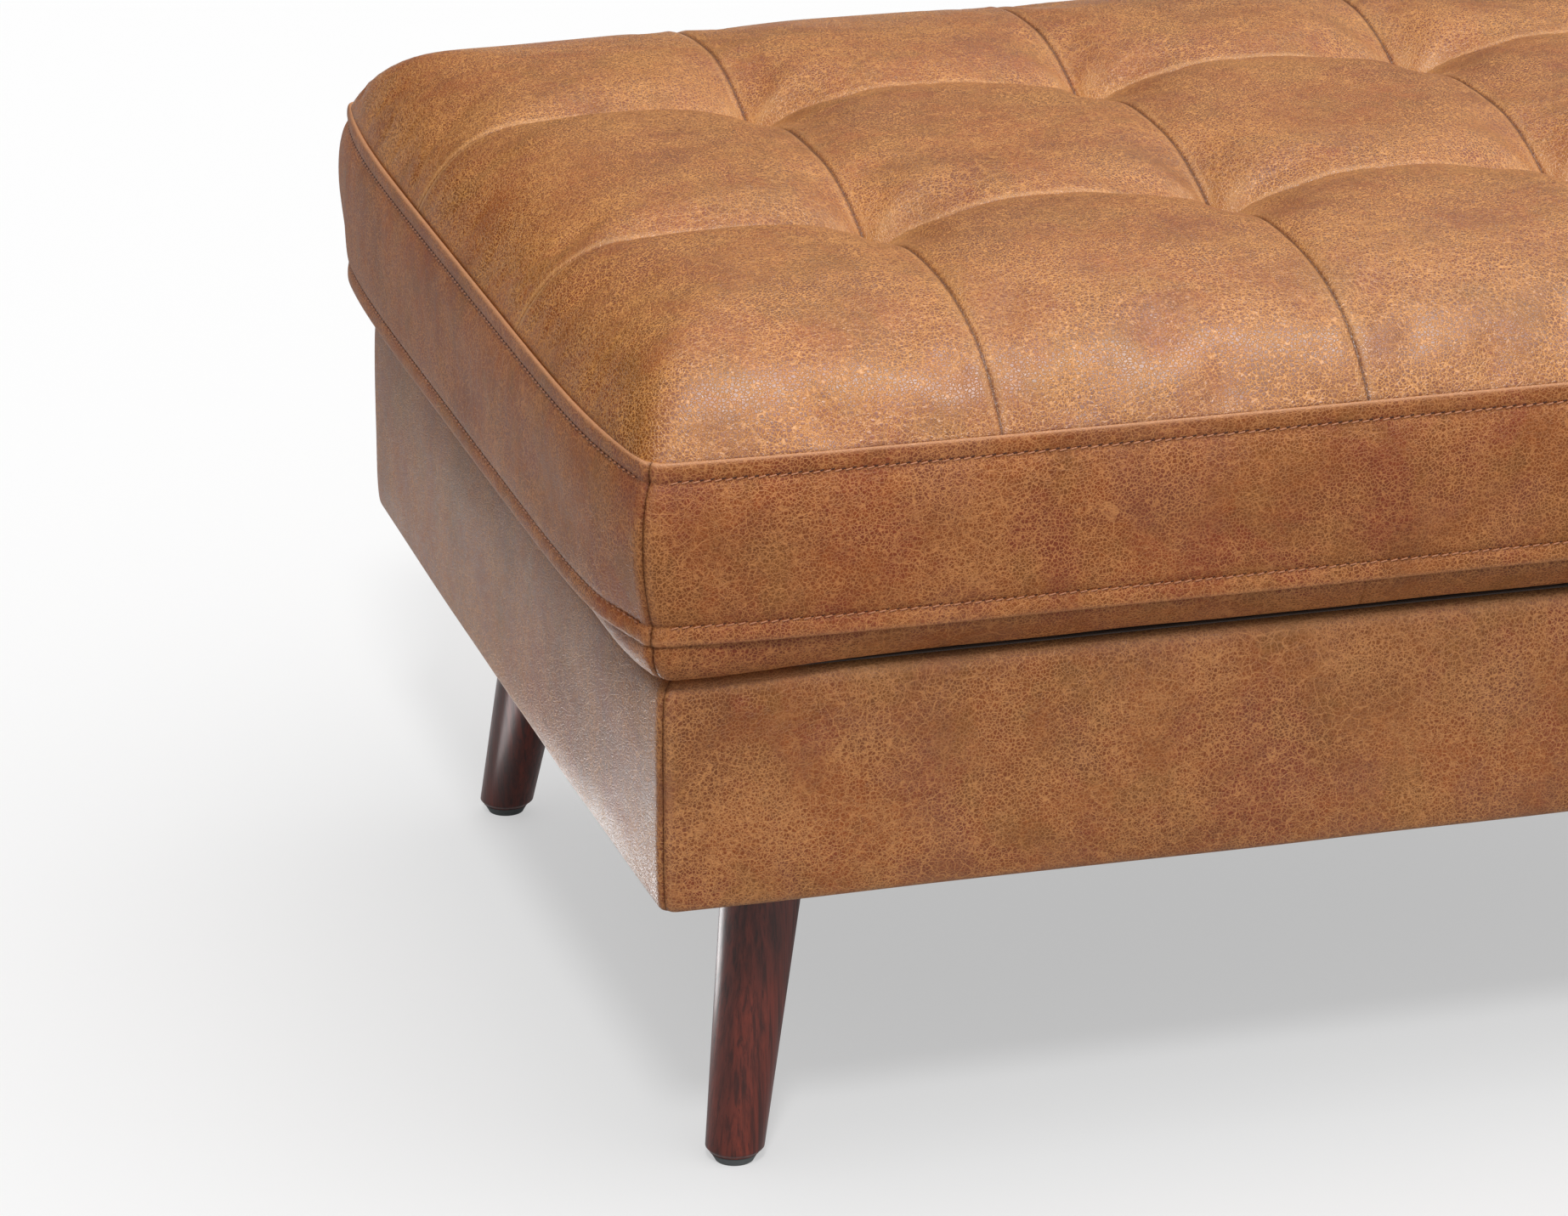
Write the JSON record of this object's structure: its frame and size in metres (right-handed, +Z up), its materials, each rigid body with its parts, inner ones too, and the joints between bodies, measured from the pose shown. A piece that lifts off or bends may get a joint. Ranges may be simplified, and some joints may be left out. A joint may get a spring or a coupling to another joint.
{
  "type": "tufted ottoman",
  "caption": "Rectangular footstool: a biscuit-tufted tan leather box cushion that lifts off a leather-covered base on splayed, tapered wooden legs.",
  "frame": {"origin": "on the floor under the centre of the ottoman, midway between the four feet", "axes": "+Z up, +X along the length towards the right seen from the front, -Y towards the long front side"},
  "size_m": [0.929, 0.666, 0.4598],
  "materials": {
    "tan_leather": "waxed pull-up leather with a light sheen, darker where it folds",
    "leg_wood": "dark red-brown stain under satin lacquer",
    "frame_wood": "raw plywood and softwood",
    "plate_steel": "zinc-plated steel",
    "glide_plastic": "moulded grey nylon",
    "foam": "cut upholstery foam",
    "fibre": "bonded polyester fibre",
    "deck_cloth": "dark woven lining",
    "dust_cloth": "black spun-bonded bottom cloth",
    "webbing": "elastic upholstery webbing",
    "tape": "hook and loop tape",
    "strap": "nylon tufting tape"
  },
  "bodies": {
    "base": {"base_cover_front": "tan_leather", "padding_front": "foam", "front_rail": "frame_wood", "base_cover_back": "tan_leather", "padding_back": "foam", "back_rail": "frame_wood", "base_cover_left": "tan_leather", "padding_left": "foam", "left_rail": "frame_wood", "base_cover_right": "tan_leather", "padding_right": "foam", "right_rail": "frame_wood", "legs": "leg_wood", "glides": "glide_plastic", "leg_plates": "plate_steel", "leg_blocks": "frame_wood", "centre_rail": "frame_wood", "corner_blocks": "frame_wood", "long_webbing": "webbing", "cross_webbing": "webbing", "deck_pad": "foam", "deck_cloth": "deck_cloth", "dust_cover": "dust_cloth", "hook_tapes": "tape", "hanger_bolts": "plate_steel"},
    "cushion": {"boxing_front": "tan_leather", "boxing_back": "tan_leather", "boxing_left": "tan_leather", "boxing_right": "tan_leather", "lower_band_front_left": "tan_leather", "lower_band_front_right": "tan_leather", "lower_band_back": "tan_leather", "lower_band_left": "tan_leather", "lower_band_right": "tan_leather", "top_panel": "tan_leather", "fibre_layer": "fibre", "foam_core": "foam", "underside_cloth": "deck_cloth", "tuft_toggles": "glide_plastic", "tuft_straps": "strap", "loop_tapes": "tape"}
  },
  "joints": [
    {"name": "cushion_lift", "type": "slide", "parent": "base", "child": "cushion", "axis": [0, 0, 1], "range_m": [0, 0.2]}
  ]
}
